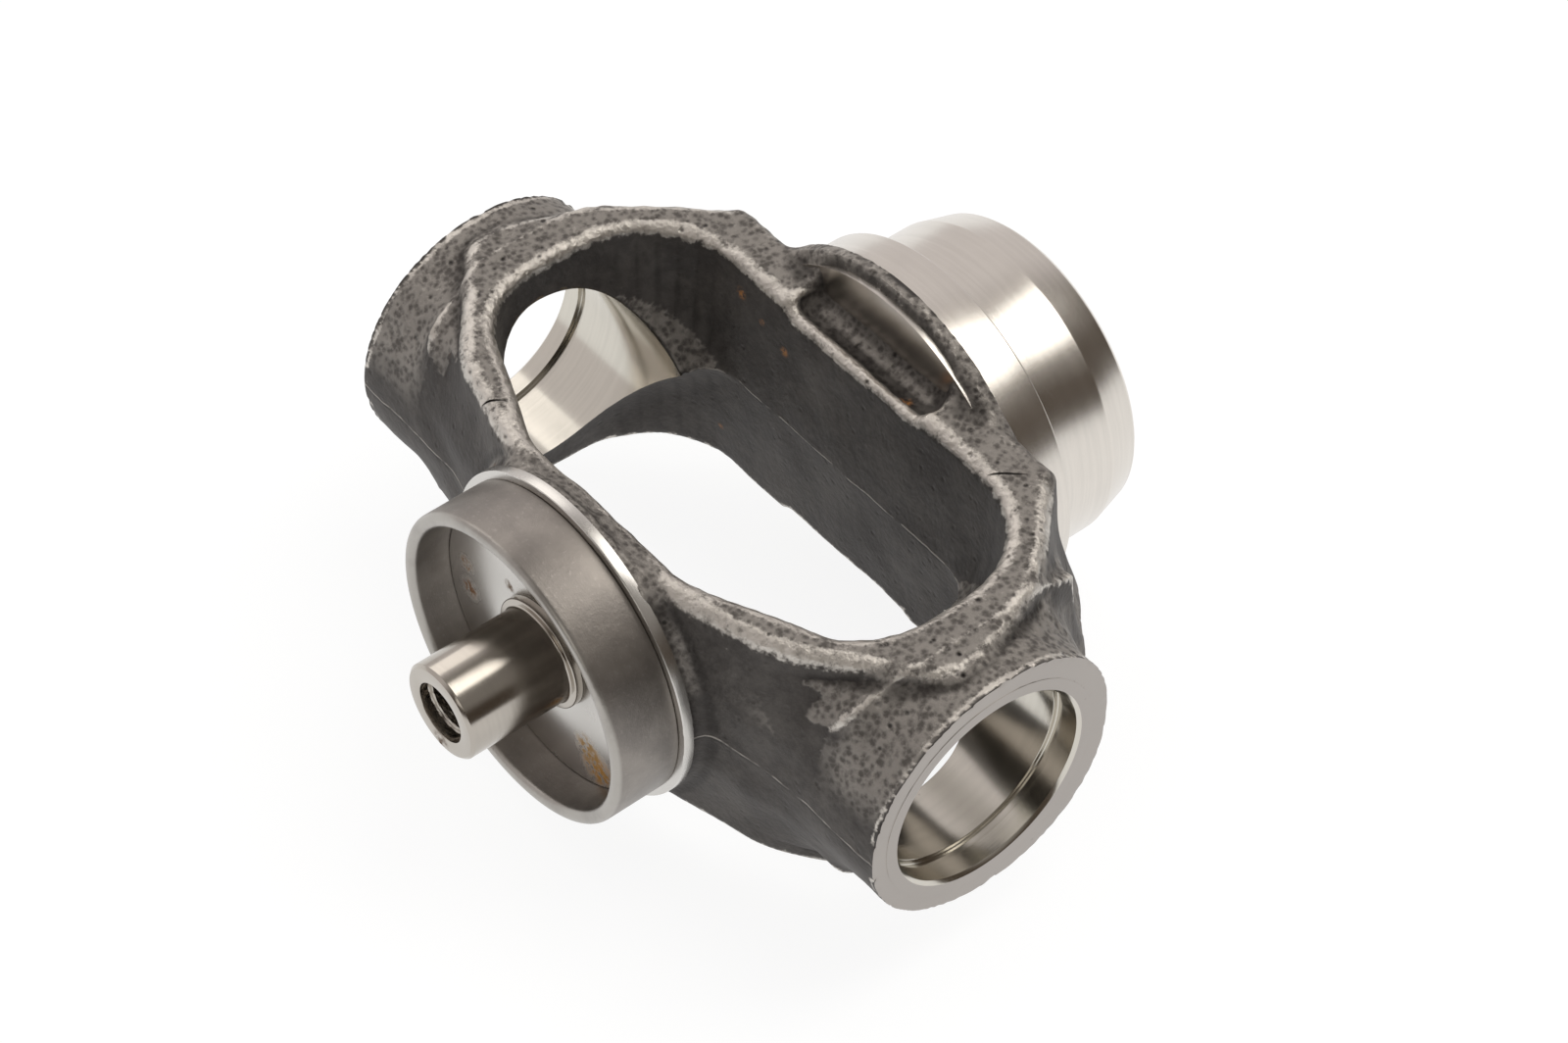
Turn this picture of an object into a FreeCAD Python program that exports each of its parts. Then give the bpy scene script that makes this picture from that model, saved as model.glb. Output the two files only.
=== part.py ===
# Forged yoke of a double cardan shaft, mm.
#
# X is the axis of the cross bores, Y the axis of the shaft (tube hub at +Y, centring pin at -Y),
# Z = 0 the parting plane of the forging, and the origin the centre of the joint.

import FreeCAD, Part
import math
import os
import Sketcher

doc = FreeCAD.newDocument("ForgedYoke")

# ---------------------------------------------------------------- driving sizes
table = [
    # cross bores
    ("face_reach", 48.3, "centre to the machined face of each boss"),
    ("boss_radius", 17.3, "boss at its machined face"),
    ("boss_draft", 0.9, "draft of the boss, degrees"),
    ("boss_root", 21.0, "where the boss starts, from the centre"),
    ("bore_radius", 13.5, "bearing cup seat"),
    ("bore_chamfer", 0.4, "mouth of the bore"),
    ("snap_inset", 2.9, "face to the snap ring groove"),
    ("snap_width", 1.4, "snap ring groove"),
    ("snap_depth", 0.7, "snap ring groove"),
    # ring
    ("land_height", 18.4, "parting plane to the flat land of the ring"),
    ("land_edge", 1.8, "rounding of the land's outer edge"),
    ("rear_corner_x", 27.6, "rear corner of the ring at the parting plane"),
    ("rear_corner_y", 27.6, "rear corner of the ring at the parting plane"),
    ("corner_round", 4.0, "rounding of the rear corners in plan"),
    ("ring_draft", 5.0, "draft of the ring's outer walls, degrees"),
    ("land_tip", 46.8, "reach of the ring over the boss"),
    ("arm_x", 30.0, "front arm, where the ring turns towards the boss"),
    ("arm_y", 17.3, "front arm, where the ring turns towards the boss"),
    ("flank_x", 40.2, "rear flank of the ring, midway"),
    ("flank_y", 15.8, "rear flank of the ring, midway"),
    ("skirt_x", 32.0, "rear corner of the skirt at the parting plane"),
    ("skirt_y", 27.9, "rear corner of the skirt at the parting plane"),
    ("skirt_draft", 24.0, "draft of the skirt, degrees"),
    # window
    ("window_end", 35.8, "half length of the window at the land"),
    ("window_rear", 19.5, "rear wall of the window at the land"),
    ("window_front", 17.3, "front wall of the window at the land"),
    ("window_flat", 13.5, "half length of the front wall before it slants"),
    ("window_slant", 22.0, "slant of the front wall beside it, degrees"),
    ("window_draft", 4.0, "draft of the walls, degrees"),
    ("window_rear_round", 12.0, "rear corners of the window"),
    ("window_front_round", 10.0, "front corners of the window"),
    ("tongue_reach", 24.7, "inner reach of the parting tongue at each end"),
    ("tongue_height", 10.1, "half height of the tongue's root"),
    ("window_edge", 1.4, "rounding of the window's edge"),
    # clearance pocket across the rear bridge
    ("pocket_half", 12.2, "half length of the pocket"),
    ("pocket_floor", 15.7, "parting plane to the pocket's lowest line"),
    ("pocket_rise", 1.9, "rise of the floor towards the hub"),
    ("pocket_near", 20.8, "where the floor starts behind the sill"),
    ("pocket_far", 26.0, "rear wall of the pocket at the rim"),
    ("pocket_round", 3.0, "rounding under the rear wall"),
    ("sill_height", 17.1, "parting plane to the sill between pocket and window"),
    # hub
    ("rim_radius", 26.0, "forged rim in front of the weld shoulder"),
    ("rim_rear", 27.7, "rear face of the forged rim"),
    ("rim_width", 1.6, "straight part of the forged rim"),
    ("rim_root", 18.2, "radius of the hub under the land"),
    ("rim_start", 21.4, "where the rim's cone leaves the bridge"),
    ("weld_radius", 24.6, "weld shoulder"),
    ("weld_end", 33.8, "rear face of the weld shoulder"),
    ("pilot_radius", 21.6, "tube pilot"),
    ("pilot_end", 43.3, "where the lead-in taper starts"),
    ("nose_radius", 20.4, "small end of the lead-in"),
    ("nose_end", 48.5, "rear end of the hub"),
    ("nose_chamfer", 0.6, "edge of the rear end"),
    ("centre_radius", 3.0, "turning centre in the rear end"),
    # spigot, seal cup and centring pin
    ("shoulder_radius", 21.6, "turned shoulder behind the seal cup"),
    ("shoulder_rear", 22.3, "where the turned shoulder starts"),
    ("front_root", 18.0, "radius of the front block under the land"),
    ("front_start", 19.2, "where the front block rises out of the land"),
    ("front_radius", 21.0, "crest of the front block"),
    ("front_crest", 20.7, "where the front block reaches its crest"),
    ("shoulder_front", 23.0, "face that the seal cup is pressed against"),
    ("cup_inner", 18.7, "seal cup seat on the spigot"),
    ("cup_wall", 1.9, "wall of the seal cup"),
    ("cup_rim", 31.9, "front edge of the seal cup"),
    ("cup_lip", 0.9, "rounding of the rim"),
    ("spigot_face", 26.5, "turned floor inside the cup"),
    ("pin_radius", 6.3, "ground pin"),
    ("pin_tip", 41.7, "front end of the pin"),
    ("pin_chamfer", 0.4, "edge of the pin"),
    ("pin_depth", 6.4, "pressed length inside the spigot"),
    ("collar_radius", 7.3, "collar at the pin's root"),
    ("collar_length", 1.1, "collar at the pin's root"),
    ("pin_bore", 3.4, "tapping bore of the extraction thread"),
    ("thread_relief", 3.95, "mouth of the extraction thread"),
    ("thread_depth", 14.0, "depth of the threaded hole"),
]
sheet = doc.addObject("Spreadsheet::Sheet", "Sizes")
for row, (alias, value, note) in enumerate(table, start=1):
    sheet.set("A%d" % row, alias)
    sheet.set("B%d" % row, "%g" % value)
    sheet.setAlias("B%d" % row, alias)
    sheet.set("C%d" % row, note)
doc.recompute()


class Size:
    """A length that knows both its value and the expression that drives it."""

    def __init__(self, value, text):
        self.value = value
        self.text = text

    def join(self, other, sign, value):
        return Size(value, "(%s %s %s)" % (self.text, sign, other.text))

    def __add__(self, other):
        other = asSize(other)
        return self.join(other, "+", self.value + other.value)

    def __sub__(self, other):
        other = asSize(other)
        return self.join(other, "-", self.value - other.value)

    def __mul__(self, other):
        other = asSize(other)
        return self.join(other, "*", self.value * other.value)

    def __neg__(self):
        return Size(-self.value, "(0 - %s)" % self.text)


def asSize(number):
    return number if isinstance(number, Size) else Size(float(number), "%.6g" % number)


def size(alias):
    return Size(float(getattr(sheet, alias)), "Sizes." + alias)


def slope(alias):
    """Tangent of an angle that the sheet holds in degrees."""
    angle = float(getattr(sheet, alias))
    return Size(math.tan(math.radians(angle)), "tan(Sizes.%s * 1 deg)" % alias)


# ---------------------------------------------------------------- sketch helpers
def originPlane(body, role):
    return next(f for f in body.Origin.OriginFeatures if f.Role == role)


def newSketch(body, name, role, height=None):
    sketch = body.newObject("Sketcher::SketchObject", name)
    sketch.AttachmentSupport = (originPlane(body, role), [""])
    sketch.MapMode = "FlatFace"
    if height is not None:
        height = asSize(height)
        sketch.AttachmentOffset = FreeCAD.Placement(FreeCAD.Vector(0, 0, height.value), FreeCAD.Rotation())
        sketch.setExpression("AttachmentOffset.Base.z", height.text)
    return sketch


def bind(sketch, kind, *place):
    """Adds one dimension and ties it to the sheet."""
    dimension = place[-1]
    index = sketch.addConstraint(Sketcher.Constraint(kind, *place[:-1], dimension.value))
    sketch.setExpression("Constraints[%d]" % index, dimension.text)


def unit(a, b):
    length = math.hypot(b[0] - a[0], b[1] - a[1])
    return ((b[0] - a[0]) / length, (b[1] - a[1]) / length)


def outline(sketch, corners):
    """Closed outline through corners (x, y[, radius]); a radius rounds its corner tangentially."""
    corners = [(asSize(c[0]), asSize(c[1]), asSize(c[2]) if len(c) > 2 else None) for c in corners]
    count = len(corners)
    spots = [(c[0].value, c[1].value) for c in corners]
    arrive, leave, arcs = [], [], []
    for i, (x, y, radius) in enumerate(corners):
        if radius is None:
            arrive.append(spots[i])
            leave.append(spots[i])
            arcs.append(None)
            continue
        back = unit(spots[i], spots[i - 1])
        ahead = unit(spots[i], spots[(i + 1) % count])
        half = math.acos(max(-1, min(1, back[0] * ahead[0] + back[1] * ahead[1]))) / 2
        run = radius.value / math.tan(half)
        a = (spots[i][0] + back[0] * run, spots[i][1] + back[1] * run)
        b = (spots[i][0] + ahead[0] * run, spots[i][1] + ahead[1] * run)
        reach = radius.value / math.sin(half)
        middle = unit((0, 0), (back[0] + ahead[0], back[1] + ahead[1]))
        centre = (spots[i][0] + middle[0] * reach, spots[i][1] + middle[1] * reach)
        turn = back[0] * ahead[1] - back[1] * ahead[0]
        arrive.append(a)
        leave.append(b)
        arcs.append((centre, a, b, turn < 0))
    lines = []
    for i in range(count):
        p, q = leave[i], arrive[(i + 1) % count]
        lines.append(sketch.addGeometry(Part.LineSegment(FreeCAD.Vector(*p, 0), FreeCAD.Vector(*q, 0))))
    for i, (x, y, radius) in enumerate(corners):
        before, after = lines[i - 1], lines[i]
        if radius is None:
            sketch.addConstraint(Sketcher.Constraint("Coincident", before, 2, after, 1))
            bind(sketch, "DistanceX", -1, 1, after, 1, x)
            bind(sketch, "DistanceY", -1, 1, after, 1, y)
            continue
        centre, a, b, ccw = arcs[i]
        start, end = (a, b) if ccw else (b, a)
        first = math.atan2(start[1] - centre[1], start[0] - centre[0])
        last = math.atan2(end[1] - centre[1], end[0] - centre[0])
        circle = Part.Circle(FreeCAD.Vector(*centre, 0), FreeCAD.Vector(0, 0, 1), radius.value)
        arc = sketch.addGeometry(Part.ArcOfCircle(circle, first, last if last > first else last + 2 * math.pi))
        spot = sketch.addGeometry(Part.Point(FreeCAD.Vector(x.value, y.value, 0)), True)
        sketch.addConstraint(Sketcher.Constraint("Tangent", before, 2, arc, 1 if ccw else 2))
        sketch.addConstraint(Sketcher.Constraint("Tangent", arc, 2 if ccw else 1, after, 1))
        sketch.addConstraint(Sketcher.Constraint("PointOnObject", spot, 1, before))
        sketch.addConstraint(Sketcher.Constraint("PointOnObject", spot, 1, after))
        bind(sketch, "DistanceX", -1, 1, spot, 1, x)
        bind(sketch, "DistanceY", -1, 1, spot, 1, y)
        bind(sketch, "Radius", arc, radius)


def mirrored(right):
    """Right half of an outline, from the front to the rear, closed by its mirror image."""
    left = [(-asSize(c[0]),) + tuple(c[1:]) for c in reversed(right) if asSize(c[0]).value > 1e-9]
    return right + left


def addFeature(body, kind, name, **properties):
    feature = body.newObject("PartDesign::" + kind, name)
    for key, value in properties.items():
        setattr(feature, key, value)
    body.Tip = feature
    doc.recompute()
    return feature


def drive(feature, key, dimension):
    """Ties a property of a feature to the sheet."""
    setattr(feature, key, dimension.value)
    feature.setExpression(key, dimension.text)
    doc.recompute()


def mirrorFeature(body, name, originals, role):
    return addFeature(body, "Mirrored", name, Originals=originals, MirrorPlane=(originPlane(body, role), [""]))


def roundEdges(body, name, radius, wanted, kind="Fillet"):
    """Rounds or chamfers the edges of the tip for which wanted(edge) is true."""
    base = body.Tip
    names = ["Edge%d" % (i + 1) for i, e in enumerate(base.Shape.Edges) if wanted(e)]
    feature = body.newObject("PartDesign::" + kind, name)
    feature.Base = (base, names)
    key = "Radius" if kind == "Fillet" else "Size"
    setattr(feature, key, radius.value)
    feature.setExpression(key, radius.text)
    body.Tip = feature
    doc.recompute()
    return feature


# ---------------------------------------------------------------- the forging
forging = doc.addObject("PartDesign::Body", "yoke_forging")
forging.Label = "yoke_forging"

landHeight = size("land_height")
tip = size("land_tip")
cornerX, cornerY = size("rear_corner_x"), size("rear_corner_y")
shoulderRear = size("shoulder_rear")
bossRadius = size("boss_radius")
faceReach = size("face_reach")
boreRadius = size("bore_radius")

# ring: a drafted plate on both sides of the parting plane, its land rounded at the edge
armX, armY = size("arm_x"), size("arm_y")
ringSketch = newSketch(forging, "RingOutline", "XY_Plane")
outline(ringSketch, mirrored([
    (0, -shoulderRear),
    (armX - 17.5, -shoulderRear, 10),
    (armX, -armY, 22),
    (tip, -4.2, 6.5),
    (tip, 2, 7.5),
    (size("flank_x"), size("flank_y"), 32),
    (cornerX, cornerY, size("corner_round")),
    (0, cornerY),
]))
doc.recompute()
ringHalf = addFeature(forging, "Pad", "RingHalf", Profile=ringSketch, TaperAngle=-5)
drive(ringHalf, "Length", landHeight)
drive(ringHalf, "TaperAngle", -size("ring_draft"))
mirrorFeature(forging, "Ring", [ringHalf], "XY_Plane")


def onLand(edge):
    """Edges that lie in the plane of a land."""
    box = edge.BoundBox
    return box.ZLength < 1e-4 and abs(abs(box.ZMin) - landHeight.value) < 1e-4


roundEdges(forging, "LandEdge", size("land_edge"), onLand)

# skirts: wide drafted flanks from the rear arms down to the parting plane
skirtX, skirtY = size("skirt_x"), size("skirt_y")
skirtSketch = newSketch(forging, "SkirtOutline", "XY_Plane")
outline(skirtSketch, mirrored([
    (0, 2),
    (tip - 0.4, 2),
    (tip - 0.4, bossRadius - 0.9, 3),
    (skirtX, skirtY, size("corner_round")),
    (0, skirtY),
]))
doc.recompute()
skirtHalf = addFeature(forging, "Pad", "SkirtHalf", Profile=skirtSketch)
drive(skirtHalf, "Length", landHeight - size("land_edge"))
drive(skirtHalf, "TaperAngle", -size("skirt_draft"))
mirrorFeature(forging, "Skirts", [skirtHalf], "XY_Plane")

# bosses: drafted cylinders on the cross axis
bossRoot = size("boss_root")
bossProfile = newSketch(forging, "BossProfile", "XY_Plane")
outline(bossProfile, [
    (bossRoot, 0),
    (faceReach, 0),
    (faceReach, bossRadius),
    (bossRoot, bossRadius + (faceReach - bossRoot) * slope("boss_draft")),
])
doc.recompute()
boss = addFeature(forging, "Revolution", "Boss", Profile=bossProfile,
                  ReferenceAxis=(bossProfile, ["H_Axis"]), Angle=360)
mirrorFeature(forging, "Bosses", [boss], "YZ_Plane")

# front block and hub: one turned profile each, about the shaft axis
frontStart = size("front_start")
shoulderFront = size("shoulder_front")
spigotFace = size("spigot_face")
cupInner = size("cup_inner")
frontProfile = newSketch(forging, "FrontProfile", "XY_Plane")
outline(frontProfile, [
    (0, -spigotFace),
    (cupInner, -spigotFace),
    (cupInner, -shoulderFront),
    (size("shoulder_radius"), -shoulderFront),
    (size("shoulder_radius"), -shoulderRear),
    (size("front_radius"), -size("front_crest")),
    (size("front_root"), -frontStart),
    (size("front_root"), -size("window_front") + 1.5),
    (0, -size("window_front") + 1.5),
])
doc.recompute()
addFeature(forging, "Revolution", "FrontBlock", Profile=frontProfile,
           ReferenceAxis=(frontProfile, ["V_Axis"]), Angle=360)

rimRear = size("rim_rear")
noseEnd = size("nose_end")
noseChamfer = size("nose_chamfer")
centreRadius = size("centre_radius")
hubProfile = newSketch(forging, "HubProfile", "XY_Plane")
outline(hubProfile, [
    (0, size("window_rear") - 1.5),
    (size("rim_root"), size("window_rear") - 1.5),
    (size("rim_root"), size("rim_start")),
    (size("rim_radius"), rimRear - size("rim_width")),
    (size("rim_radius"), rimRear),
    (size("weld_radius"), rimRear),
    (size("weld_radius"), size("weld_end")),
    (size("pilot_radius"), size("weld_end")),
    (size("pilot_radius"), size("pilot_end")),
    (size("nose_radius"), noseEnd - noseChamfer),
    (size("nose_radius") - noseChamfer, noseEnd),
    (centreRadius, noseEnd),
    (0, noseEnd - centreRadius * 1.7),
])
doc.recompute()
addFeature(forging, "Revolution", "Hub", Profile=hubProfile,
           ReferenceAxis=(hubProfile, ["V_Axis"]), Angle=360)

# window: drafted both ways from the parting plane
windowEnd, windowRear, windowFront = size("window_end"), size("window_rear"), size("window_front")
windowFlat, windowDraft = size("window_flat"), size("window_draft")
inward = landHeight * slope("window_draft")
windowSlant = (windowEnd - windowFlat) * slope("window_slant")
windowSketch = newSketch(forging, "WindowOutline", "XY_Plane")
outline(windowSketch, mirrored([
    (0, inward - windowFront),
    (windowFlat, inward - windowFront, 9),
    (windowEnd - inward, windowSlant - windowFront + inward, size("window_front_round")),
    (windowEnd - inward, windowRear - inward, size("window_rear_round")),
    (0, windowRear - inward),
]))
doc.recompute()
window = addFeature(forging, "Pocket", "WindowHalf", Profile=windowSketch, Reversed=True)
drive(window, "Length", landHeight * 2)
drive(window, "TaperAngle", windowDraft)
mirrorFeature(forging, "Window", [window], "XY_Plane")


def onWindow(edge):
    """Edges where the window meets a land."""
    box = edge.BoundBox
    return (onLand(edge) and box.YMin > -windowFront.value - 0.01 and box.YMax < windowRear.value + 0.01
            and max(-box.XMin, box.XMax) < windowEnd.value + 0.01)


roundEdges(forging, "WindowEdge", size("window_edge"), onWindow)

# tongues: the metal that runs in along the parting plane at each end of the window
tongueReach, tongueHeight = size("tongue_reach"), size("tongue_height")
tongueSketch = newSketch(forging, "TongueSection", "XZ_Plane")
outline(tongueSketch, [
    (tongueReach, 0),
    (windowEnd, -tongueHeight),
    (windowEnd, tongueHeight),
])
doc.recompute()
tongue = addFeature(forging, "Pad", "TongueRight", Profile=tongueSketch, SideType="Two sides")
drive(tongue, "Length", boreRadius - 0.5)
drive(tongue, "Length2", windowRear)
mirrorFeature(forging, "Tongues", [tongue], "YZ_Plane")

# clearance pockets across the rear bridge, above and below, with a low sill towards the window
pocketFloor, sillHeight = size("pocket_floor"), size("sill_height")
pocketNear, pocketFar = size("pocket_near"), size("pocket_far")
pocketTop = size("rim_radius") + 3
pocketSketch = newSketch(forging, "PocketSection", "YZ_Plane")
outline(pocketSketch, [
    (windowRear - 3, sillHeight),
    (pocketNear, sillHeight),
    (pocketNear + 1.2, pocketFloor),
    (pocketFar - 0.8, pocketFloor + size("pocket_rise"), size("pocket_round")),
    (pocketFar, pocketTop),
    (windowRear - 3, pocketTop),
])
doc.recompute()
pocket = addFeature(forging, "Pocket", "PocketHalf", Profile=pocketSketch, Midplane=True)
drive(pocket, "Length", size("pocket_half") * 2)
mirrorFeature(forging, "Pockets", [pocket], "XY_Plane")

# cross bores: bearing seats with snap ring grooves, broken through the tongues
snapOuter = faceReach - size("snap_inset")
snapInner = snapOuter - size("snap_width")
snapRadius = boreRadius + size("snap_depth")
boreProfile = newSketch(forging, "BoreProfile", "XY_Plane")
outline(boreProfile, mirrored([
    (0, 0),
    (faceReach + 1, 0),
    (faceReach + 1, boreRadius + size("bore_chamfer") + 1),
    (faceReach - size("bore_chamfer"), boreRadius),
    (snapOuter, boreRadius),
    (snapOuter, snapRadius),
    (snapInner, snapRadius),
    (snapInner, boreRadius),
    (0, boreRadius),
]))
doc.recompute()
addFeature(forging, "Groove", "CrossBores", Profile=boreProfile, ReferenceAxis=(boreProfile, ["H_Axis"]), Angle=360)

# seat of the centring pin in the spigot
pinRadius, pinDepth = size("pin_radius"), size("pin_depth")
pinSeat = newSketch(forging, "PinSeat", "XY_Plane")
outline(pinSeat, [
    (0, -spigotFace - 1),
    (pinRadius, -spigotFace - 1),
    (pinRadius, pinDepth - spigotFace),
    (0, pinDepth - spigotFace),
])
doc.recompute()
addFeature(forging, "Groove", "PinHole", Profile=pinSeat, ReferenceAxis=(pinSeat, ["V_Axis"]), Angle=360)

# ---------------------------------------------------------------- centring pin
pin = doc.addObject("PartDesign::Body", "centring_pin")
pin.Label = "centring_pin"
pinTip, pinChamfer = size("pin_tip"), size("pin_chamfer")
collarRadius, collarFront = size("collar_radius"), spigotFace + size("collar_length")
pinBore, relief = size("pin_bore"), size("thread_relief")
holeEnd = pinTip - size("thread_depth")
pinProfile = newSketch(pin, "PinProfile", "XY_Plane")
outline(pinProfile, [
    (0, pinDepth - spigotFace),
    (pinRadius, pinDepth - spigotFace),
    (pinRadius, -spigotFace),
    (collarRadius, -spigotFace),
    (collarRadius, -collarFront),
    (pinRadius, -collarFront),
    (pinRadius, -pinTip + pinChamfer),
    (pinRadius - pinChamfer, -pinTip),
    (relief, -pinTip),
    (relief, -pinTip + 1.2),
    (pinBore, -pinTip + 1.2 + (relief - pinBore)),
    (pinBore, -holeEnd),
    (0, -holeEnd + pinBore * 0.6),
])
doc.recompute()
addFeature(pin, "Revolution", "Pin", Profile=pinProfile, ReferenceAxis=(pinProfile, ["V_Axis"]), Angle=360)

# ---------------------------------------------------------------- seal cup
cup = doc.addObject("PartDesign::Body", "seal_cup")
cup.Label = "seal_cup"
cupOuter, cupRim, lip = cupInner + size("cup_wall"), size("cup_rim"), size("cup_lip")
cupProfile = newSketch(cup, "CupProfile", "XY_Plane")
outline(cupProfile, [
    (cupInner, -shoulderFront),
    (cupInner, -cupRim, lip),
    (cupOuter, -cupRim, lip * 0.9),
    (cupOuter, -shoulderFront),
])
doc.recompute()
addFeature(cup, "Revolution", "Cup", Profile=cupProfile, ReferenceAxis=(cupProfile, ["V_Axis"]), Angle=360)

# ---------------------------------------------------------------- check and write
doc.recompute()
for item in doc.Objects:
    if {"Invalid", "Error"} & set(item.State):
        raise RuntimeError("failed feature: " + item.Name)
os.makedirs("parts", exist_ok=True)
for body in (forging, pin, cup):
    shape = body.Shape
    if shape.isNull() or not shape.isValid() or len(shape.Solids) != 1:
        raise RuntimeError("bad solid: " + body.Label)
    print(body.Label, "volume", round(shape.Volume, 1), "box", [round(v, 2) for v in (
        shape.BoundBox.XMin, shape.BoundBox.YMin, shape.BoundBox.ZMin,
        shape.BoundBox.XMax, shape.BoundBox.YMax, shape.BoundBox.ZMax)])
    shape.exportStep("parts/%s.step" % body.Label)
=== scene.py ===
import math
import bmesh
import bpy
import numpy as np
from mathutils import Matrix, Vector


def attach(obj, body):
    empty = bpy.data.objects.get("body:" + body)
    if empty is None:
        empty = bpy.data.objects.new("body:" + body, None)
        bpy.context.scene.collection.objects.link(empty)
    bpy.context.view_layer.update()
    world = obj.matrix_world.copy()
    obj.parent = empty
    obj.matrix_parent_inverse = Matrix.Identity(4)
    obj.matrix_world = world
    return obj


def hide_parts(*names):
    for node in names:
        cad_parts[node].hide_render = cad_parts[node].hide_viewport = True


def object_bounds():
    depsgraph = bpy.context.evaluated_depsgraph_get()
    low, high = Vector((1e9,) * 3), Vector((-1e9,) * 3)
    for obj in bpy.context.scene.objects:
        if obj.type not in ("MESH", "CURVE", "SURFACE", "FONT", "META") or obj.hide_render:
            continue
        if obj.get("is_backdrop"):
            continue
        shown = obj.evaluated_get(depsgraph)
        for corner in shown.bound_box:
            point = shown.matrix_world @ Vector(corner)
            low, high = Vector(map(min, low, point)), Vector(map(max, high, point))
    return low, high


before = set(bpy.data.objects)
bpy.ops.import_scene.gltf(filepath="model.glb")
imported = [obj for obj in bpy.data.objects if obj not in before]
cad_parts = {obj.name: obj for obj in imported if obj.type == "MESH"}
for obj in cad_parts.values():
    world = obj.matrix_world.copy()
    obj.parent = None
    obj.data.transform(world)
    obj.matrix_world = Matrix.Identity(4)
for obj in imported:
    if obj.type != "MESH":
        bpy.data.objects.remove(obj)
cadBox = [list(corner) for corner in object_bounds()]
print("frame loaded:", sorted(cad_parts))

mm = 0.001


# camera, lamps, floor
viewSizes = {
    "place": (0.261134, -0.210451, 0.372729),
    "across": (0.6372345, 0.7706230, 0.0085088),
    "down": (0.5738946, -0.4671314, -0.6726316),
    "lens": 96.6075,
}


# The camera's axes are given as unit vectors: across to the right, and down.
def makeCamera(sizes):
    data = bpy.data.cameras.new("camera")
    data.lens = sizes["lens"]
    data.sensor_width = 36
    data.clip_start, data.clip_end = 0.01, 20
    camera = bpy.data.objects.new("camera", data)
    bpy.context.scene.collection.objects.link(camera)
    across, up = Vector(sizes["across"]), -Vector(sizes["down"])
    back = across.cross(up)
    turn = Matrix((across, up, back)).transposed().to_4x4()
    camera.matrix_world = Matrix.Translation(Vector(sizes["place"])) @ turn
    bpy.context.scene.camera = camera


# Adds a node; each input is a value or another node's socket, and i0, i1 name sockets by number.
def put(tree, kind, settings=None, **inputs):
    node = tree.nodes.new(kind)
    for key, value in (settings or {}).items():
        setattr(node, key, value)
    for key, value in inputs.items():
        numbered = key[0] == "i" and key[1:].isdigit()
        plug = node.inputs[int(key[1:]) if numbered else key.replace("_", " ")]
        if isinstance(value, bpy.types.NodeSocket):
            tree.links.new(value, plug)
        else:
            plug.default_value = value
    return node


def calc(tree, operation, a, b=0.0, clamp=False):
    return put(tree, "ShaderNodeMath", {"operation": operation, "use_clamp": clamp}, i0=a, i1=b).outputs[0]


# Smooth rise from fromValue at low to toValue at high.
def stepped(tree, value, low, high, fromValue=0.0, toValue=1.0):
    node = put(tree, "ShaderNodeMapRange", {"interpolation_type": "SMOOTHSTEP"}, Value=value)
    for name, number in (("From Min", low), ("From Max", high), ("To Min", fromValue), ("To Max", toValue)):
        node.inputs[name].default_value = number
    return node.outputs[0]


def blendColour(tree, amount, a, b, how="MIX"):
    node = put(tree, "ShaderNodeMix", {"data_type": "RGBA", "blend_type": how, "clamp_factor": True})
    for plug, value in ((node.inputs[0], amount), (node.inputs[6], a), (node.inputs[7], b)):
        if isinstance(value, bpy.types.NodeSocket):
            tree.links.new(value, plug)
        else:
            plug.default_value = value if isinstance(value, float) else (*value, 1)
    return node.outputs[2]


roomColours = {
    "dark": (0.085, 0.066, 0.050), "ceiling": (0.30, 0.28, 0.26), "leftWall": (0.74, 0.70, 0.69),
    "below": (1.0, 0.98, 0.96), "ambient": (1, 0.985, 0.965), "ambientStrength": 0.52,
}


# White to the camera. Metal sees white below the horizon, a dark room that pales upwards above it, and a
# pale wall on the left. All else is lit evenly.
def makeWorld(colours):
    world = bpy.data.worlds.new("studio")
    bpy.context.scene.world = world
    world.use_nodes = True
    tree = world.node_tree
    tree.nodes.clear()
    direction = put(tree, "ShaderNodeTexCoord").outputs["Generated"]
    parts = put(tree, "ShaderNodeSeparateXYZ", Vector=direction)
    x, _, z = parts.outputs
    room = blendColour(tree, stepped(tree, z, 0.35, 0.62), colours["dark"], colours["ceiling"])
    leftWall = calc(tree, "MULTIPLY", stepped(tree, x, 0.10, -0.42), stepped(tree, z, 0.96, 0.80))
    room = blendColour(tree, leftWall, room, colours["leftWall"])
    room = blendColour(tree, stepped(tree, z, 0.02, -0.06), room, colours["below"])
    rays = put(tree, "ShaderNodeLightPath")
    ambient = put(tree, "ShaderNodeBackground", Color=(*colours["ambient"], 1),
                  Strength=colours["ambientStrength"])
    shiny = put(tree, "ShaderNodeBackground", Color=room, Strength=1.0)
    plain = put(tree, "ShaderNodeBackground", Color=(1, 1, 1, 1), Strength=1.0)
    glossy, through = rays.outputs["Is Glossy Ray"], rays.outputs["Is Transmission Ray"]
    seenInMetal = calc(tree, "ADD", glossy, through, clamp=True)
    first = put(tree, "ShaderNodeMixShader", i0=seenInMetal, i1=ambient.outputs[0], i2=shiny.outputs[0])
    last = put(tree, "ShaderNodeMixShader", i0=rays.outputs["Is Camera Ray"], i1=first.outputs[0],
               i2=plain.outputs[0])
    put(tree, "ShaderNodeOutputWorld", Surface=last.outputs[0])


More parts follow.
